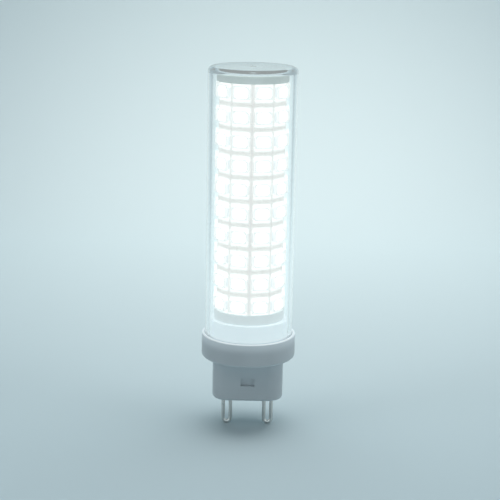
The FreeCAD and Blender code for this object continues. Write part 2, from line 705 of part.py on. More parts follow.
make_clear_cover()
make_base_housing()
make_pin("pin_left", -1)
make_pin("pin_right", 1)
make_core_tube()
make_led_board()
for column in range(int(number("column_count"))):
    make_led_column(column)
make_column_cap()
make_driver_board()
make_chip("bridge_rectifier", "bridge_width", "bridge_length", "bridge_thickness",
          bridge_rise, "bridge_leg_pitch", 2)
make_chip("driver_chip", "chip_width", "chip_length", "chip_thickness",
          chip_rise, "chip_leg_pitch", 4)
make_film_capacitor()
make_storage_capacitor()
make_fuse_resistor()
make_chip_resistors()
make_leads()
doc.recompute()

for item in doc.Objects:
    if "Invalid" in item.State or "Error" in item.State:
        raise RuntimeError("%s did not recompute: %s" % (item.Name, item.State))

os.makedirs("parts", exist_ok=True)
for item in subparts:
    shape = item.Shape
    if shape.isNull() or not shape.isValid() or not shape.Solids:
        raise RuntimeError("%s has no valid shape" % item.Label)
    shape.exportStep("parts/%s.step" % item.Label)
    print("%-20s %3d solids %9.2f mm3" % (item.Label, len(shape.Solids), shape.Volume))
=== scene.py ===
import bmesh
import bpy
import math
from mathutils import Matrix, Vector


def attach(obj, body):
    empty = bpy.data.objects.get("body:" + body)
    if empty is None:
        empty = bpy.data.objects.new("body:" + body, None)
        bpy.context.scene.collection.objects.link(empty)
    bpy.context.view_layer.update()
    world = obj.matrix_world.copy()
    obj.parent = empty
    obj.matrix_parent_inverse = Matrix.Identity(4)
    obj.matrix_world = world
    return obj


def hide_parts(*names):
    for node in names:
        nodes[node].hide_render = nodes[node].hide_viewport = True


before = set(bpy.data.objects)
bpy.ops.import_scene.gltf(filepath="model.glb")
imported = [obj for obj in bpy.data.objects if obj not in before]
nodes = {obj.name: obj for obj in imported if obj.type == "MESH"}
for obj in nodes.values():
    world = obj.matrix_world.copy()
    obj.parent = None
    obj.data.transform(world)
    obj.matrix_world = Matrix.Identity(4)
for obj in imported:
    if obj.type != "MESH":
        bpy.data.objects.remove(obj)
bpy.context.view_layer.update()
mm = 0.001
turn = 2 * math.pi
seamFront = (-5.5, -6.2)            # the board's seam faces -Y: from none to full, in mm
print("frame loaded:", len(nodes), "nodes")


class Flow:                         # a node's output that can be used in sums
    def __init__(self, paint, socket):
        self.paint, self.socket = paint, socket

    def __add__(self, other):
        return self.paint.maths("ADD", self, other)

    def __sub__(self, other):
        return self.paint.maths("SUBTRACT", self, other)

    def __mul__(self, other):
        return self.paint.maths("MULTIPLY", self, other)

    def __truediv__(self, other):
        return self.paint.maths("DIVIDE", self, other)

    def __rsub__(self, other):
        return self.paint.maths("SUBTRACT", other, self)

    def __rtruediv__(self, other):
        return self.paint.maths("DIVIDE", other, self)

    def __abs__(self):
        return self.paint.maths("ABSOLUTE", self)

    __radd__, __rmul__ = __add__, __mul__


class Paint:                        # a material and the nodes laid out in it
    def __init__(self, name):
        self.material = bpy.data.materials.new(name)
        self.material.use_nodes = True
        self.tree = self.material.node_tree
        self.tree.nodes.clear()

    def add(self, kind, settings=None, values=None, out=0):
        node = self.tree.nodes.new(kind)
        for key, value in (settings or {}).items():
            setattr(node, key, value)
        for key, value in (values or {}).items():
            if isinstance(value, Flow):
                self.tree.links.new(value.socket, node.inputs[key])
            else:
                node.inputs[key].default_value = value
        return Flow(self, node.outputs[out])

    def maths(self, operation, *given):
        return self.add("ShaderNodeMath", {"operation": operation}, dict(enumerate(given)))

    def spot(self):                 # object coordinates in metres, as one vector
        return self.add("ShaderNodeTexCoord", out="Object")

    def stretched(self, scale):     # the same, squeezed or stretched along an axis
        return self.add("ShaderNodeMapping", None, {"Vector": self.spot(), "Scale": scale})

    def place(self):                # object coordinates in millimetres, as x, y and z
        spot = self.spot()
        return [self.add("ShaderNodeSeparateXYZ", None, {0: spot}, out=i) / mm for i in range(3)]

    def noise(self, scale, detail=3.0, roughness=0.55, spot=None):
        return self.add("ShaderNodeTexNoise", None,
                        {"Vector": spot or self.spot(), "Scale": scale, "Detail": detail,
                         "Roughness": roughness})

    def between(self, value, low, high):    # 0 below low, 1 above high, smooth in the middle
        return self.add("ShaderNodeMapRange", {"interpolation_type": "SMOOTHSTEP"},
                        {0: value, 1: low, 2: high, 3: 0.0, 4: 1.0})

    def mix(self, share, first, second):    # colours
        return self.add("ShaderNodeMix", {"data_type": "RGBA"},
                        {0: share, 6: tone(first), 7: tone(second)}, out=2)

    def bump(self, height, depth, strength=1.0):
        return self.add("ShaderNodeBump", None,
                        {"Height": height, "Distance": depth, "Strength": strength})

    def finish(self, shader):
        out = self.tree.nodes.new("ShaderNodeOutputMaterial")
        self.tree.links.new(shader.socket, out.inputs["Surface"])
        return self.material


def tone(colour):                   # a grey, a colour or a Flow, as a colour input takes it
    if isinstance(colour, Flow):
        return colour
    if isinstance(colour, (int, float)):
        colour = (colour,) * 3
    return (*colour, 1.0)


def shade(paint, **values):
    names = {"colour": "Base Color", "rough": "Roughness", "metal": "Metallic", "normal": "Normal",
             "glow": "Emission Color", "glowStrength": "Emission Strength", "ior": "IOR",
             "glass": "Transmission Weight"}
    given = {names[k]: tone(v) if k in ("colour", "glow") else v for k, v in values.items()}
    return paint.add("ShaderNodeBsdfPrincipled", None, given)


def atSeam(paint, reach):           # 1 on the board's seam; reach is from none to full, in mm
    x, y = paint.place()[:2]
    return paint.between(abs(x), *reach) * paint.between(y, *seamFront)


def asObject(name, mesh, *materials):
    obj = bpy.data.objects.new(name, mesh)
    bpy.context.scene.collection.objects.link(obj)
    for material in materials:
        mesh.materials.append(material)
    return obj


def softShade(mesh, degrees=35):
    mesh.shade_smooth()
    mesh.set_sharp_from_angle(angle=math.radians(degrees))


def toMesh(name, build, outward=True):
    if outward:
        bmesh.ops.recalc_face_normals(build, faces=build.faces)
    mesh = bpy.data.meshes.new(name)
    build.to_mesh(mesh)
    build.free()
    return mesh


def corners(build, points):         # points in mm
    return [build.verts.new((x * mm, y * mm, z * mm)) for x, y, z in points]


def closeShell(build, rings):       # faces between neighbouring rings, and one over each end
    for low, high in zip(rings, rings[1:]):
        for i in range(len(low)):
            j = (i + 1) % len(low)
            build.faces.new((low[i], low[j], high[j], high[i]))
    build.faces.new(rings[0])
    build.faces.new(rings[-1])


def arc(cx, cz, radius, start, end, steps):     # points of an arc, in degrees
    angles = [math.radians(start + (end - start) * i / steps) for i in range(steps + 1)]
    return [(cx + radius * math.cos(a), cz + radius * math.sin(a)) for a in angles]


def lathe(name, profile, segments):  # a closed outline of (radius, height) in mm, turned round Z
    build = bmesh.new()
    rings = []
    for radius, height in profile:
        if radius < 1e-6:           # a pole: one corner, used all round
            rings.append(corners(build, [(0, 0, height)]) * segments)
        else:
            rings.append([build.verts.new((radius * mm * math.cos(turn * i / segments),
                                           radius * mm * math.sin(turn * i / segments),
                                           height * mm)) for i in range(segments)])
    for low, high in zip(rings, rings[1:] + rings[:1]):
        for i in range(segments):
            j = (i + 1) % segments
            face = []
            for corner in (low[i], low[j], high[j], high[i]):
                if corner not in face:
                    face.append(corner)
            if len(face) > 2:
                build.faces.new(face)
    mesh = toMesh(name, build)
    softShade(mesh)
    return mesh


def finished(obj):                  # the modifiers' result, as a plain mesh at the origin
    bpy.context.view_layer.update()
    ready = obj.evaluated_get(bpy.context.evaluated_depsgraph_get())
    mesh = bpy.data.meshes.new_from_object(ready)
    obj.modifiers.clear()
    obj.data = mesh
    return obj


def evenShade(obj):                 # flat faces stay flat beside small roundings
    even = obj.modifiers.new("even", "WEIGHTED_NORMAL")
    even.keep_sharp, even.weight = True, 80
    return finished(obj)


def join(obj, others, operation):   # adds or cuts other closed shapes, which are then gone
    for other in others:
        step = obj.modifiers.new(other.name, "BOOLEAN")
        step.operation, step.solver, step.object = operation, "EXACT", other
    finished(obj)
    for other in others:
        bpy.data.objects.remove(other)


def settle(obj, slotName, *replaced):
    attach(obj, "root")
    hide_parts(*replaced)


# the camera looks 12 degrees down and leans one degree, as in the photograph
cameraSettings = {"place": (0.0, -0.291, 0.094), "aim": (0.0, 0.0, 0.0235), "lens": 100.0,
                  "sensor": 36.0, "lean": 1.08, "nearest": 0.01, "farthest": 10.0}


def makeCamera(s):
    camera = bpy.data.objects.new("camera", bpy.data.cameras.new("camera"))
    bpy.context.scene.collection.objects.link(camera)
    bpy.context.scene.camera = camera
    camera.data.lens, camera.data.sensor_width = s["lens"], s["sensor"]
    camera.data.clip_start, camera.data.clip_end = s["nearest"], s["farthest"]
    camera.location = s["place"]
    looking = (Vector(s["aim"]) - Vector(s["place"])).to_track_quat("-Z", "Y")
    leaning = Matrix.Rotation(math.radians(s["lean"]), 3, "Z").to_quaternion()
    camera.rotation_mode = "QUATERNION"
    camera.rotation_quaternion = looking @ leaning


makeCamera(cameraSettings)

# sizes in mm; the backdrop has a painted pool of light, palest behind the bulb; glowDepth under 1
# stretches it along Y
stageSettings = {"floor": -16.0, "front": -600.0, "bend": 170.0, "bendRadius": 130.0,
                 "bendSteps": 24, "top": 700.0, "halfWidth": 900.0, "rough": 0.9,
                 "near": (0.86, 0.985, 0.995), "far": (0.45, 0.565, 0.605),
                 "glowMiddle": (12.0, 245.0, 8.0), "glowStart": 5.0, "glowReach": 226.0,
                 "glowDepth": 0.68}


def makeStage(s):
    line = [(s["front"], s["floor"])]
    line += arc(s["bend"], s["floor"] + s["bendRadius"], s["bendRadius"], -90, 0, s["bendSteps"])
    line += [(s["bend"] + s["bendRadius"], s["top"])]
    build = bmesh.new()
    left, right = [corners(build, [(x, y, z) for y, z in line])
                   for x in (-s["halfWidth"], s["halfWidth"])]
    for a, b, c, d in zip(left, right, right[1:], left[1:]):
        build.faces.new((a, b, c, d))
    mesh = toMesh("backdrop", build, outward=False)
    mesh.shade_smooth()
    paint = Paint("paleBackdrop")
    x, y, z = paint.place()
    middle = s["glowMiddle"]
    across, deep, up = x - middle[0], (y - middle[1]) * s["glowDepth"], z - middle[2]
    away = paint.maths("SQRT", across * across + deep * deep + up * up)
    # painted light: the colour is palest near glowMiddle, as if lit by the bulb
    colour = paint.mix(paint.between(away, s["glowStart"], s["glowReach"]), s["near"], s["far"])
    paleBackdrop = paint.finish(shade(paint, colour=colour, rough=s["rough"]))
    asObject("backdrop", mesh, paleBackdrop)


makeStage(stageSettings)

# places and sizes in metres; the mirror image of the overhead lamp would whiten the cover's end
lampSettings = {
    "overhead": {"place": (0.05, 0.10, 0.60), "size": 0.6, "power": 3.0, "mirrored": False},
    "left": {"place": (-0.5, -0.25, 0.40), "size": 0.35, "power": 0.42, "mirrored": True},
    "right": {"place": (0.5, -0.2, 0.35), "size": 0.35, "power": 0.33, "mirrored": True},
}


def makeLamp(name, s):
    light = bpy.data.lights.new(name, "AREA")
    light.shape, light.size, light.energy = "DISK", s["size"], s["power"]
    lamp = bpy.data.objects.new(name, light)
    bpy.context.scene.collection.objects.link(lamp)
    lamp.location = s["place"]
    lamp.rotation_euler = (-Vector(s["place"])).to_track_quat("-Z", "Y").to_euler()
    lamp.visible_transmission = False       # the cover shows the backdrop, not the lamps
    lamp.visible_glossy = s["mirrored"]


for lampName, lampSetting in lampSettings.items():
    makeLamp(lampName, lampSetting)

# camera, mirror and glass rays see the pale backdrop's colour, and the rest is dim studio light
worldSettings = {"light": (0.185, 0.195, 0.205), "seen": (0.55, 0.66, 0.69)}


def makeWorld(s):
    world = bpy.data.worlds.new("studio")
    bpy.context.scene.world = world
    world.use_nodes = True
    air = world.node_tree
    rays = air.nodes.new("ShaderNodeLightPath").outputs
    glassOrMirror, seen = air.nodes.new("ShaderNodeMath"), air.nodes.new("ShaderNodeMath")
    glassOrMirror.operation = seen.operation = "ADD"
    seen.use_clamp = True
    pick = air.nodes.new("ShaderNodeMix")
    pick.data_type = "RGBA"
    pick.inputs[6].default_value, pick.inputs[7].default_value = tone(s["light"]), tone(s["seen"])
    for start, end in ((rays["Is Glossy Ray"], glassOrMirror.inputs[0]),
                       (rays["Is Transmission Ray"], glassOrMirror.inputs[1]),
                       (rays["Is Camera Ray"], seen.inputs[0]),
                       (glassOrMirror.outputs[0], seen.inputs[1]),
                       (seen.outputs[0], pick.inputs[0]),
                       (pick.outputs[2], air.nodes["Background"].inputs["Color"])):
        air.links.new(start, end)


makeWorld(worldSettings)
bpy.context.scene.view_settings.view_transform = "Standard"
print("camera, stage and lamps made")


# sizes in mm; haze is the packages' light caught beside them, painted as a glow from hazeFoot up to
# hazeTop
coverSettings = {"outer": 9.5, "inner": 8.5, "foot": 4.0, "top": 62.995, "end": 0.85,
                 "shoulder": 1.0, "shoulderSteps": 10, "innerShoulder": 0.5, "innerSteps": 6,
                 "edge": 0.12, "edgeSteps": 3, "gateRadius": 0.65, "gateDepth": 0.35,
                 "segments": 160, "ior": 1.49, "rough": 0.03, "colour": (0.975, 0.99, 0.99),
                 "ripple": 160.0, "rippleDepth": 0.01, "shadowTint": (0.93, 0.95, 0.95),
                 "haze": (0.056, 0.060, 0.059), "endHaze": (0.042, 0.046, 0.046),
                 "hazeFoot": (7.0, 14.0), "hazeTop": (61.5, 59.0)}


def clearPlastic(s):
    paint = Paint("clearPlastic")
    z = paint.place()[2]
    ripple = paint.noise(s["ripple"], 4.0)      # faint ripple left by the mould
    # painted light: the cover glows, most between hazeFoot and hazeTop
    lit = paint.between(z, *s["hazeFoot"]) * paint.between(z, *s["hazeTop"])
    glass = shade(paint, colour=s["colour"], rough=s["rough"], ior=s["ior"], glass=1.0,
                  glow=paint.mix(lit, s["endHaze"], s["haze"]), glowStrength=1.0,
                  normal=paint.bump(ripple, s["rippleDepth"] * mm, 0.5))
    shadow = paint.add("ShaderNodeLightPath", out="Is Shadow Ray")      # it throws hardly a shadow
    clear = paint.add("ShaderNodeBsdfTransparent", None, {"Color": tone(s["shadowTint"])})
    return paint.finish(paint.add("ShaderNodeMixShader", None, {0: shadow, 1: glass, 2: clear}))


def makeCover(s):
    outer, inner, foot, top = s["outer"], s["inner"], s["foot"], s["top"]
    edge, edgeSteps = s["edge"], s["edgeSteps"]
    gate, ceiling = top - s["gateDepth"], top - s["end"]
    profile = [(0.0, gate)]         # a small dimple where the mould was filled
    profile += arc(s["gateRadius"] - edge, gate + edge, edge, -90, 0, edgeSteps)
    profile += arc(s["gateRadius"] + edge, top - edge, edge, 180, 90, edgeSteps)
    profile += arc(outer - s["shoulder"], top - s["shoulder"], s["shoulder"], 90, 0,
                   s["shoulderSteps"])
    profile += arc(outer - edge, foot + edge, edge, 0, -90, edgeSteps)
    profile += arc(inner + edge, foot + edge, edge, -90, -180, edgeSteps)
    profile += arc(inner - s["innerShoulder"], ceiling - s["innerShoulder"], s["innerShoulder"],
                   0, 90, s["innerSteps"])
    profile += [(0.0, ceiling)]
    mesh = lathe("clearCover", profile, s["segments"])
    cover = evenShade(asObject("clearCover", mesh, clearPlastic(s)))
    settle(cover, "clear_plastic", "clear_cover")


makeCover(coverSettings)
print("clear cover made")


# sizes in mm; a package stands on its flat of the board, and terminal is its solder fillet
packageSettings = {"count": 10, "columns": 10, "pitch": 5.055, "firstHeight": 12.8,
                   "footRadius": 6.9, "width": 3.5, "height": 2.8, "depth": 0.75, "corner": 0.12,
                   "cut": 0.55, "edge": 0.06, "windowWidth": 2.9, "windowHeight": 2.2,
                   "windowCorner": 0.45, "windowSlope": 0.08, "windowCornerSlope": 0.06,
                   "recess": 0.10, "domeShare": 0.6, "domeDrop": 0.55, "terminalHeight": 1.9,
                   "terminalDepth": 0.25, "terminalOut": 0.22, "terminalToe": (0.08, 0.10),
                   "terminalTop": 0.06}
resinSettings = {"light": (0.90, 0.90, 0.88), "dark": (0.86, 0.86, 0.83), "rough": 0.38,
                 "glow": (0.93, 0.945, 0.95), "glowStrength": 0.34, "grain": 2600.0}
windowSettings = {"light": (0.97, 0.95, 0.80), "dark": (0.93, 0.91, 0.74), "rough": 0.3,
                  "middle": (1.0, 1.0, 0.99), "rim": (0.80, 0.85, 0.85), "rimStart": 0.72,
                  "halfWidth": 1.4, "halfHeight": 1.05, "glowStrength": 2.6, "grain": 3800.0}
terminalSettings = {"light": (0.86, 0.87, 0.88), "dark": (0.74, 0.76, 0.77), "rough": 0.30,
                    "glow": (0.92, 0.96, 0.97), "seamGlow": (0.52, 0.50, 0.48),
                    "seamReach": (0.9, 0.6), "glowStrength": 0.30, "grain": 2200.0}


def roundedLoop(width, height, radius, steps=3, cut=0.0):   # round a rectangle, anticlockwise
    loop = []
    for number, (sx, sz) in enumerate(((1, -1), (1, 1), (-1, 1), (-1, -1))):
        if cut and number == 1:     # the cut corner that marks one end
            loop += [(width / 2, height / 2 - cut), (width / 2 - cut, height / 2)]
            continue
        cx, cz = sx * (width / 2 - radius), sz * (height / 2 - radius)
        loop += arc(cx, cz, radius, -90 + 90 * number, 90 * number, steps)
    return loop


def stackLoops(name, layers):       # layers of (loop, y) in mm, joined into a closed shell
    build = bmesh.new()
    uv = build.loops.layers.uv.new("packagePlace")      # place on the package, in mm
    closeShell(build, [corners(build, [(x, y, z) for x, z in loop]) for loop, y in layers])
    bmesh.ops.recalc_face_normals(build, faces=build.faces)
    for face in build.faces:
        for corner in face.loops:
            corner[uv].uv = (corner.vert.co.x / mm, corner.vert.co.z / mm)
    return toMesh(name, build, outward=False)


def packageParts(s):                # frame, window and terminals, facing -Y with the foot at y = 0
    w, h, d, edge, cut = s["width"], s["height"], s["depth"], s["edge"], s["cut"]
    slope = s["windowSlope"]
    outer = roundedLoop(w, h, s["corner"], 1, cut)
    inset = roundedLoop(w - 2 * edge, h - 2 * edge, s["corner"], 1, cut)
    lip = roundedLoop(s["windowWidth"], s["windowHeight"], s["windowCorner"], 1, cut)
    floor = roundedLoop(s["windowWidth"] - 2 * slope, s["windowHeight"] - 2 * slope,
                        s["windowCorner"] - s["windowCornerSlope"], 1, cut)
    dome = [(x * s["domeShare"], z * s["domeShare"]) for x, z in floor]
    recessed = -(d - s["recess"])
    body = stackLoops("packageFrame", [(outer, 0.0), (outer, -(d - edge)), (inset, -d), (lip, -d),
                                       (floor, recessed)])
    window = stackLoops("packageWindow", [(floor, recessed),
                                          (dome, -(d - s["recess"] * s["domeDrop"]))])
    build = bmesh.new()
    for side in (-1, 1):            # a solder fillet that slopes from the end to the board
        inner, out = side * w / 2, side * (w / 2 + s["terminalOut"])
        half, deep = s["terminalHeight"] / 2, s["terminalDepth"]
        toeIn, toeUp = s["terminalToe"]
        section = [(inner, 0), (out, 0), (out - side * toeIn, -toeUp),
                   (inner + side * s["terminalTop"], -deep), (inner, -deep)]
        closeShell(build, [corners(build, [(x, y, z) for x, y in section]) for z in (-half, half)])
    terminals = toMesh("packageTerminals", build)
    for mesh in (body, window, terminals):
        softShade(mesh)
    return body, window, terminals


def packageResin(s):
    paint = Paint("packageResin")
    grain = paint.noise(s["grain"], 4.0)
    # painted light: the frame glows as if lit by the package's own light
    return paint.finish(shade(
        paint, colour=paint.mix(grain, s["dark"], s["light"]), rough=s["rough"], glow=s["glow"],
        glowStrength=s["glowStrength"], normal=paint.bump(grain, 0.01 * mm, 0.4)))


def phosphorWindow(s):              # brightest in the middle of the package
    paint = Paint("phosphorWindow")
    place = paint.add("ShaderNodeUVMap", {"uv_map": "packagePlace"})
    across, along = [abs(paint.add("ShaderNodeSeparateXYZ", None, {0: place}, out=i))
                     for i in (0, 1)]
    edge = paint.maths("MAXIMUM", across / s["halfWidth"], along / s["halfHeight"])
    powder = paint.noise(s["grain"], 2.0)
    return paint.finish(shade(
        paint, colour=paint.mix(powder, s["dark"], s["light"]), rough=s["rough"],
        glow=paint.mix(paint.between(edge, s["rimStart"], 1.0), s["middle"], s["rim"]),
        glowStrength=s["glowStrength"], normal=paint.bump(powder, 0.008 * mm, 0.3)))


def tinnedTerminal(s):              # glows with painted light, less beside the open seam
    paint = Paint("tinnedTerminal")
    grain = paint.noise(s["grain"], 3.0)
    seam = atSeam(paint, s["seamReach"])
    return paint.finish(shade(
        paint, colour=paint.mix(grain, s["dark"], s["light"]), metal=1.0,
        rough=grain * 0.2 + s["rough"], glow=paint.mix(seam, s["glow"], s["seamGlow"]),
        glowStrength=s["glowStrength"], normal=paint.bump(grain, 0.01 * mm, 0.6)))


def columnTree(parts, materials):   # one column of packages: a line of instances turned round Z
    tree = bpy.data.node_groups.new("lightColumn", "GeometryNodeTree")
    face = tree.interface
    face.new_socket("Geometry", in_out="INPUT", socket_type="NodeSocketGeometry")
    face.new_socket("Geometry", in_out="OUTPUT", socket_type="NodeSocketGeometry")
    for name, kind in (("Count", "NodeSocketInt"), ("Pitch", "NodeSocketFloat"),
                       ("First Height", "NodeSocketFloat"), ("Foot Radius", "NodeSocketFloat"),
                       ("Angle", "NodeSocketFloat")):
        face.new_socket(name, in_out="INPUT", socket_type=kind)

    def put(kind, settings=None, values=None):
        node = tree.nodes.new(kind)
        for key, value in (settings or {}).items():
            setattr(node, key, value)
        for key, value in (values or {}).items():
            if isinstance(value, bpy.types.NodeSocket):
                tree.links.new(value, node.inputs[key])
            else:
                node.inputs[key].default_value = value
        return node

    given = put("NodeGroupInput").outputs
    front = put("ShaderNodeMath", {"operation": "MULTIPLY"},
                {0: given["Foot Radius"], 1: -1.0}).outputs[0]
    start = put("ShaderNodeCombineXYZ", None, {"Y": front, "Z": given["First Height"]}).outputs[0]
    step = put("ShaderNodeCombineXYZ", None, {"Z": given["Pitch"]}).outputs[0]
    spin = put("ShaderNodeCombineXYZ", None, {"Z": given["Angle"]}).outputs[0]
    line = put("GeometryNodeMeshLine", None, {"Count": given["Count"], "Start Location": start,
                                              "Offset": step}).outputs[0]
    joined = put("GeometryNodeJoinGeometry")
    for part, material in zip(parts, materials):
        held = put("GeometryNodeObjectInfo", None, {"Object": part, "As Instance": True})
        placed = put("GeometryNodeInstanceOnPoints", None,
                     {"Points": line, "Instance": held.outputs["Geometry"]}).outputs[0]
        swung = put("GeometryNodeTransform", None,
                    {"Geometry": placed, "Rotation": spin}).outputs[0]
        real = put("GeometryNodeRealizeInstances", None, {"Geometry": swung}).outputs[0]
        painted = put("GeometryNodeSetMaterial", None, {"Geometry": real, "Material": material})
        tree.links.new(painted.outputs[0], joined.inputs[0])
    out = put("NodeGroupOutput")
    tree.links.new(joined.outputs[0], out.inputs[0])
    return tree


def makeColumns(s):
    parts = [asObject(mesh.name, mesh) for mesh in packageParts(s)]
    materials = (packageResin(resinSettings), phosphorWindow(windowSettings),
                 tinnedTerminal(terminalSettings))
    tree = columnTree(parts, materials)
    keys = {item.name: item.identifier for item in tree.interface.items_tree
            if item.item_type == "SOCKET" and item.in_out == "INPUT"}
    for number in range(s["columns"]):
        column = asObject(f"ledColumn{number + 1:02d}", bpy.data.meshes.new("empty"))
        maker = column.modifiers.new("column", "NODES")
        maker.node_group = tree
        angle = turn * (number + 0.5) / s["columns"]
        for key, value in (("Count", s["count"]), ("Pitch", s["pitch"] * mm),
                           ("First Height", s["firstHeight"] * mm),
                           ("Foot Radius", s["footRadius"] * mm), ("Angle", angle)):
            maker[keys[key]] = value
        finished(column).data.name = column.name
        settle(column, "light_package", f"led_column_{number + 1:02d}")
    for part in parts:
        bpy.data.objects.remove(part)


makeColumns(packageSettings)
print("light columns made")


mouldSettings = {"grain": 1800.0, "patches": 90.0, "patchEdge": (0.35, 0.7), "patchRough": 0.12,
                 "ior": 1.5}


def mouldedSkin(paint, s, light, dark, rough):      # fine grain, and the look of moulded pieces
    fine = paint.noise(s["grain"], 5.0, 0.6)
    broad = paint.noise(s["patches"], 2.0)
    return fine, {"colour": paint.mix(paint.between(broad, *s["patchEdge"]), dark, light),
                  "rough": broad * s["patchRough"] + rough, "ior": s["ior"]}


def mouldedPlastic(name, light, dark, rough, depth):
    paint = Paint(name)
    fine, skin = mouldedSkin(paint, mouldSettings, light, dark, rough)
    return paint.finish(shade(paint, **skin, normal=paint.bump(fine, depth * mm, 0.5)))


# sizes in mm; the light spilt from the packages is painted as a glow on the collar's side, the step
# over it and the stand
housingSettings = {"collar": 10.19, "collarFootRound": 0.6, "collarTopRound": 0.3,
                   "lipHeight": 5.2, "lipInner": 9.6, "lipRound": 0.08, "grooveFloor": 4.0,
                   "spigot": 8.39, "spigotTop": 8.8, "stand": 7.6, "standTop": 11.0,
                   "standFillet": 0.05, "ring": 5.8, "ringTop": 14.0, "bore": 4.9, "edge": 0.12,
                   "blockWidth": 15.4, "blockThickness": 8.6, "blockDepth": 9.5,
                   "blockCorner": 3.4, "blockTop": 0.5, "footRound": 0.7, "wall": 1.5,
                   "floor": 1.8, "roomTop": 0.6, "latchWidth": 3.0, "latchHeight": 1.8,
                   "latchDepth": 0.5, "latchDrop": 4.2, "pinSpacing": 9.0, "loopStep": 1.6,
                   "holeRadius": 0.45, "holeSides": 24, "holeBevel": 0.1, "railTop": 8.0,
                   "railInner": 3.6, "railOuter": 6.95, "railSide": 1.4, "railFoot": -4.4,
                   "slotWidth": 9.1, "slotThickness": 1.1, "slotFoot": -3.5, "segments": 144,
                   "light": (0.60, 0.655, 0.685), "dark": (0.56, 0.615, 0.645), "rough": 0.30,
                   "sideSpill": (0.11, 0.13, 0.14), "stepSpill": (0.315, 0.36, 0.375),
                   "standSpill": (0.20, 0.21, 0.20), "sideReach": (2.6, 5.0),
                   "stepEdge": (4.95, 5.15), "standEdge": (8.75, 8.95), "grainDepth": 0.012,
                   "partingDepth": 0.05, "partingPlace": 0.4, "partingEdge": (0.09, 0.04),
                   "partingTop": (0.0, -0.3)}


def housingPlastic(s):
    paint = Paint("whitePlastic")
    y, z = paint.place()[1:]
    fine, skin = mouldedSkin(paint, mouldSettings, s["light"], s["dark"], s["rough"])
    parting = (paint.between(abs(y - s["partingPlace"]), *s["partingEdge"])
               * paint.between(z, *s["partingTop"]))    # the mould's faint line round the block
    height = fine * s["grainDepth"] + parting * s["partingDepth"]
    # painted light: a glow on the collar's side, the step over it and the stand
    side = paint.mix(paint.between(z, *s["sideReach"]), 0.0, s["sideSpill"])
    step = paint.mix(paint.between(z, *s["standEdge"]), s["stepSpill"], s["standSpill"])
    glow = paint.mix(paint.between(z, *s["stepEdge"]), side, step)
    return paint.finish(shade(paint, **skin, glow=glow, glowStrength=1.0,
                              normal=paint.bump(height, mm, 0.6)))


def upright(name, loop, heights):   # a closed block: a loop in plan at each height, and its inset
    build = bmesh.new()
    closeShell(build, [corners(build, [(x, y, height) for x, y in loop(inset)])
                       for height, inset in heights])
    return asObject(name, toMesh(name, build))


def box(name, low, high):
    def loop(inset):
        return [(low[0], low[1]), (high[0], low[1]), (high[0], high[1]), (low[0], high[1])]
    return upright(name, loop, [(low[2], 0), (high[2], 0)])


def rounded(width, thickness, corner, steps=10):
    def loop(inset):
        return roundedLoop(width - 2 * inset, thickness - 2 * inset, corner - inset, steps)
    return loop


def roundHole(middle, radius, sides):
    def loop(inset):
        return [(middle + (radius + inset) * math.cos(turn * i / sides),
                 (radius + inset) * math.sin(turn * i / sides)) for i in range(sides)]
    return loop


def housingProfile(s):              # collar, groove for the cover, spigot, stand and ring
    edge, foot, lip = s["edge"], s["collarFootRound"], s["lipRound"]
    profile = [(s["bore"], 0.0)]
    profile += arc(s["collar"] - foot, foot, foot, -90, 0, 8)
    profile += arc(s["collar"] - s["collarTopRound"], s["lipHeight"] - s["collarTopRound"],
                   s["collarTopRound"], 0, 90, 6)
    profile += arc(s["lipInner"] + lip, s["lipHeight"] - lip, lip, 90, 180, 3)
    profile += [(s["lipInner"], s["grooveFloor"]), (s["spigot"], s["grooveFloor"])]
    profile += arc(s["spigot"] - edge, s["spigotTop"] - edge, edge, 0, 90, 4)
    profile += [(s["stand"] + s["standFillet"], s["spigotTop"]),
                (s["stand"], s["spigotTop"] + s["standFillet"])]
    profile += arc(s["stand"] - edge, s["standTop"] - edge, edge, 0, 90, 4)
    profile += [(s["ring"], s["standTop"])]
    profile += arc(s["ring"] - edge, s["ringTop"] - edge, edge, 0, 90, 3)
    profile += arc(s["bore"] + edge, s["ringTop"] - edge, edge, 90, 180, 3)
    return profile


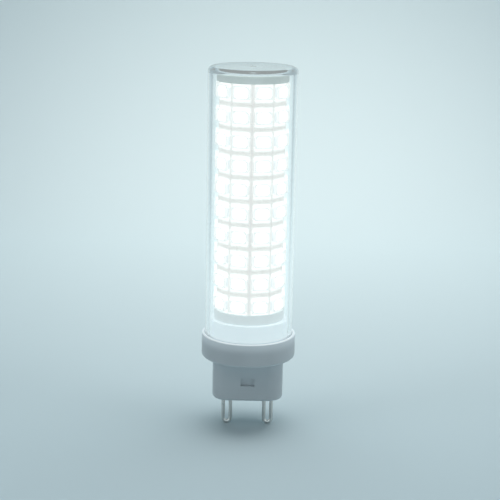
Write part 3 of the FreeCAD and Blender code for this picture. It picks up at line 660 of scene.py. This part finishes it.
def makeHousing(s):
    mesh = lathe("baseHousing", housingProfile(s), s["segments"])
    housing = asObject("baseHousing", mesh)
    foot, soft = -s["blockDepth"], s["footRound"]
    width, thickness = s["blockWidth"], s["blockThickness"]
    corner, wall = s["blockCorner"], s["wall"]
    heights = [(foot + soft - soft * math.sin(math.radians(a)),
                soft - soft * math.cos(math.radians(a))) for a in (90, 75, 60, 45, 30, 15, 0)]
    heights += [(s["blockTop"], 0)]
    join(housing, [upright("block", rounded(width, thickness, corner), heights)], "UNION")
    room = upright("room", rounded(width - 2 * wall, thickness - 2 * wall, corner - wall),
                   [(foot + s["floor"], 0), (s["roomTop"], 0)])
    join(housing, [room], "DIFFERENCE")
    rails = []
    for side in (-1, 1):            # they hold the driver board by its edges
        low, high = sorted((side * s["railInner"], side * s["railOuter"]))
        rails.append(box(f"rail{side}", (low, -s["railSide"], s["railFoot"]),
                         (high, s["railSide"], s["railTop"])))
    join(housing, rails, "UNION")
    cuts = [box("slot", (-s["slotWidth"] / 2, -s["slotThickness"] / 2, s["slotFoot"]),
                (s["slotWidth"] / 2, s["slotThickness"] / 2, s["railTop"] + 1))]
    bevel = s["holeBevel"]
    for side in (-1, 1):
        near, far = sorted((side * (thickness / 2 - s["latchDepth"]), side * (thickness / 2 + 1)))
        cuts.append(box(f"latch{side}",
                        (-s["latchWidth"] / 2, near, -s["latchDrop"] - s["latchHeight"]),
                        (s["latchWidth"] / 2, far, -s["latchDrop"])))
        for leg in (-1, 1):
            middle = side * s["pinSpacing"] / 2 + leg * s["loopStep"] / 2
            cuts.append(upright(f"hole{side}{leg}",
                                roundHole(middle, s["holeRadius"], s["holeSides"]),
                                [(foot - bevel, 2 * bevel), (foot, bevel), (foot + bevel, 0),
                                 (foot + s["floor"] + bevel, 0)]))
    join(housing, cuts, "DIFFERENCE")
    softShade(housing.data, 32)
    evenShade(housing)
    housing.data.materials.clear()
    housing.data.materials.append(housingPlastic(s))
    settle(housing, "white_plastic", "base_housing")


makeHousing(housingSettings)
print("base housing made")


# sizes in mm; each pin is one wire bent into a loop, whose end is rubbed brighter in use
pinSettings = {"wire": 0.4, "sides": 28, "step": 1.6, "spacing": 9.0, "top": -5.5, "bend": -14.8,
               "bendSteps": 20, "light": (0.82, 0.81, 0.79), "dark": (0.64, 0.63, 0.61),
               "rough": 0.14, "rubbed": (-13.6, -15.4), "grain": 1600.0, "dulling": 420.0,
               "stretch": (1, 1, 0.06)}


def pinMetal(s):
    paint = Paint("pinMetal")
    z = paint.place()[2]
    streak = paint.noise(s["grain"], 4.0, 0.6, paint.stretched(s["stretch"]))
    dull = paint.noise(s["dulling"], 3.0)
    worn = paint.between(z, *s["rubbed"])
    return paint.finish(shade(
        paint, colour=paint.mix(worn * 0.6 + dull * 0.4, s["dark"], s["light"]), metal=1.0,
        rough=streak * 0.18 + dull * 0.12 + s["rough"], normal=paint.bump(streak, 0.01 * mm, 0.5)))


def loopPath(s):                    # x and z of the wire's middle, and its direction there
    half, knee = s["step"] / 2, (s["top"] + s["bend"]) / 2
    path = [(-half, s["top"], 0, -1), (-half, knee, 0, -1)]
    for i in range(s["bendSteps"] + 1):
        a = math.pi * (1 + i / s["bendSteps"])
        path.append((half * math.cos(a), s["bend"] + half * math.sin(a), -math.sin(a), math.cos(a)))
    return path + [(half, knee, 0, 1), (half, s["top"], 0, 1)]


def makePins(s):
    metal = pinMetal(s)
    for side, name, node in ((-1, "pinLeft", "pin_left"), (1, "pinRight", "pin_right")):
        build = bmesh.new()
        rings = []
        for px, pz, tx, tz in loopPath(s):
            ring = []
            for i in range(s["sides"]):
                a = turn * i / s["sides"]
                over, out = s["wire"] * math.cos(a), s["wire"] * math.sin(a)
                ring.append((side * s["spacing"] / 2 + px - tz * over, out, pz + tx * over))
            rings.append(corners(build, ring))
        closeShell(build, rings)
        mesh = toMesh(name, build)
        softShade(mesh, 40)
        settle(asObject(name, mesh, metal), "pin_metal", node)


makePins(pinSettings)
print("pins made")


# sizes in mm; the mask glows with painted light, like the light spilt on it, with painted shade in
# the gaps
boardSettings = {"light": (0.86, 0.87, 0.85), "traceColour": (0.74, 0.77, 0.74), "rough": 0.35,
                 "tracePlace": 0.55, "traceEdge": (0.16, 0.10), "gapGlow": (0.19, 0.145, 0.125),
                 "litGlow": (0.56, 0.57, 0.565), "bendReach": (0.10, 0.48), "bendShade": 0.9,
                 "rowReach": (0.20, 0.85), "seamReach": (1.6, 1.0), "seamWidening": 0.25,
                 "seamLift": 0.15, "grain": 1500.0}
coreSettings = {"light": (0.80, 0.80, 0.81), "dark": (0.66, 0.66, 0.68), "rough": 0.22,
                "grain": 900.0, "stretch": (1, 1, 0.05), "seamReach": (1.2, 0.5),
                "seamGlow": (0.26, 0.235, 0.21)}
solderSettings = {"light": (0.72, 0.72, 0.73), "dark": (0.55, 0.55, 0.57), "rough": 0.25,
                  "grain": 900.0, "stretch": (1, 1, 1)}
plasticSettings = {                 # node: material name, light, dark, roughness and grain depth
    "column_cap": ("capPlastic", (0.69, 0.73, 0.71), (0.63, 0.67, 0.65), 0.42, 0.015),
    "driver_board": ("boardMask", (0.03, 0.20, 0.07), (0.02, 0.15, 0.05), 0.28, 0.02),
    "film_capacitor": ("filmBox", (0.48, 0.05, 0.03), (0.36, 0.03, 0.02), 0.25, 0.02),
    "storage_capacitor": ("sleeve", (0.02, 0.025, 0.06), (0.01, 0.015, 0.04), 0.22, 0.01),
    "fuse_resistor": ("lacquer", (0.30, 0.45, 0.50), (0.22, 0.36, 0.42), 0.3, 0.02),
    "wires": ("wireJacket", (0.72, 0.72, 0.69), (0.64, 0.64, 0.61), 0.45, 0.01),
    "others": ("blackResin", (0.035, 0.035, 0.04), (0.022, 0.022, 0.025), 0.45, 0.02),
}


def drawnMetal(paint, s, **glow):
    streak = paint.noise(s["grain"], 4.0, 0.6, paint.stretched(s["stretch"]))
    return paint.finish(shade(paint, colour=paint.mix(streak, s["dark"], s["light"]), metal=1.0,
                              rough=streak * 0.22 + s["rough"],
                              normal=paint.bump(streak, 0.012 * mm, 0.5), **glow))


def coreMetal(s):                   # drawn tube, with painted light in the board's seam from the packages beside it
    paint = Paint("coreMetal")
    seam = atSeam(paint, s["seamReach"])
    return drawnMetal(paint, s, glow=paint.mix(seam, 0.0, s["seamGlow"]), glowStrength=1.0)


def boardSkin(s, grid):             # white mask with painted light from the packages round it; grid is their layout
    paint = Paint("whiteMask")
    x, y, z = paint.place()
    apothem, pitch, part = grid["footRadius"], grid["pitch"], turn / grid["columns"]
    angle = paint.maths("ARCTAN2", x, y * -1.0)
    local = (paint.maths("FRACT", angle / part + grid["columns"]) - 0.5) * part
    across = abs(paint.maths("TANGENT", local) * apothem)       # from the middle of a flat
    rows = (z - grid["firstHeight"]) / pitch + 0.5 + 4.0        # above 0 down to the board's foot
    along = abs((paint.maths("FRACT", rows) - 0.5) * pitch)     # from the middle of a row
    toBend = apothem * math.tan(part / 2) - across              # to the bend between two flats
    toRow = pitch / 2 - along                                   # to the gap between two rows
    seam = atSeam(paint, s["seamReach"])                        # its gap is wider
    # painted shade: darker at the bends between flats and in the gaps between rows
    bend = ((1 - paint.between(toBend - seam * s["seamWidening"], *s["bendReach"]))
            * (s["bendShade"] - seam * s["seamLift"]))
    spill = (1 - bend) * paint.between(toRow, *s["rowReach"])
    grain = paint.noise(s["grain"], 4.0)
    trace = paint.between(abs(across - s["tracePlace"]), *s["traceEdge"])
    return paint.finish(shade(
        paint, colour=paint.mix(trace * 0.5, s["light"], s["traceColour"]),
        rough=grain * 0.15 + s["rough"], glow=paint.mix(spill, s["gapGlow"], s["litGlow"]),
        glowStrength=1.0, normal=paint.bump(trace + grain * 0.1, 0.03 * mm, 0.5)))


def paintNodes():                   # the CAD nodes that stay get their materials
    paints = {key: mouldedPlastic(*values) for key, values in plasticSettings.items()}
    paints["led_board"] = boardSkin(boardSettings, packageSettings)
    paints["core_tube"] = coreMetal(coreSettings)
    paints["solder_joints"] = drawnMetal(Paint("solder"), solderSettings)
    for name, obj in nodes.items():
        if obj.hide_render:         # replaced by a piece above
            continue
        kind = name if name in paints else "wires" if "wire" in name else "others"
        obj.data.materials.clear()
        obj.data.materials.append(paints[kind])


paintNodes()
print("frame pieces painted")
